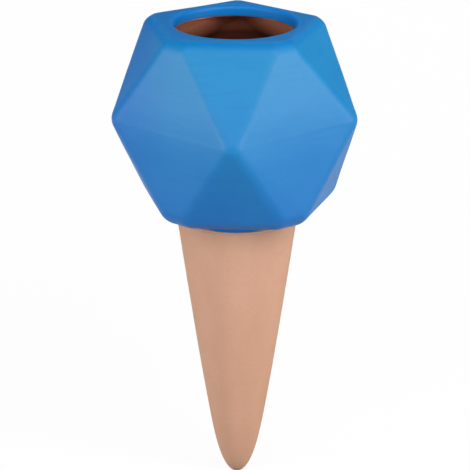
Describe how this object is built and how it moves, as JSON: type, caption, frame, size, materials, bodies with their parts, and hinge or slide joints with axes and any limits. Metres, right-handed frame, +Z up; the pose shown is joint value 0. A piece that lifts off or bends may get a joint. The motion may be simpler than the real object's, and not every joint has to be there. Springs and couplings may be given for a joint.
{
  "type": "self watering spike",
  "caption": "Fired clay plant watering spike: a hollow faceted blue reservoir with a round filling mouth on a hollow pointed cone of bare porous clay that seeps water into the soil.",
  "frame": {"origin": "on the axis at the soil line, where the blue collar ends and the bare cone begins", "axes": "+Z up along the axis, out of the filling mouth; one corner of the widest ring faces -Y"},
  "size_m": [0.0938, 0.09, 0.1907],
  "materials": {
    "reservoir_clay": "matte",
    "blue_coat": "satin",
    "joint_slip": "matte",
    "porous_clay": "matte"
  },
  "bodies": {
    "root": {"reservoir_shell": "reservoir_clay", "glaze_coat": "blue_coat", "slip_joint": "joint_slip", "spike_cone": "porous_clay"}
  },
  "joints": []
}
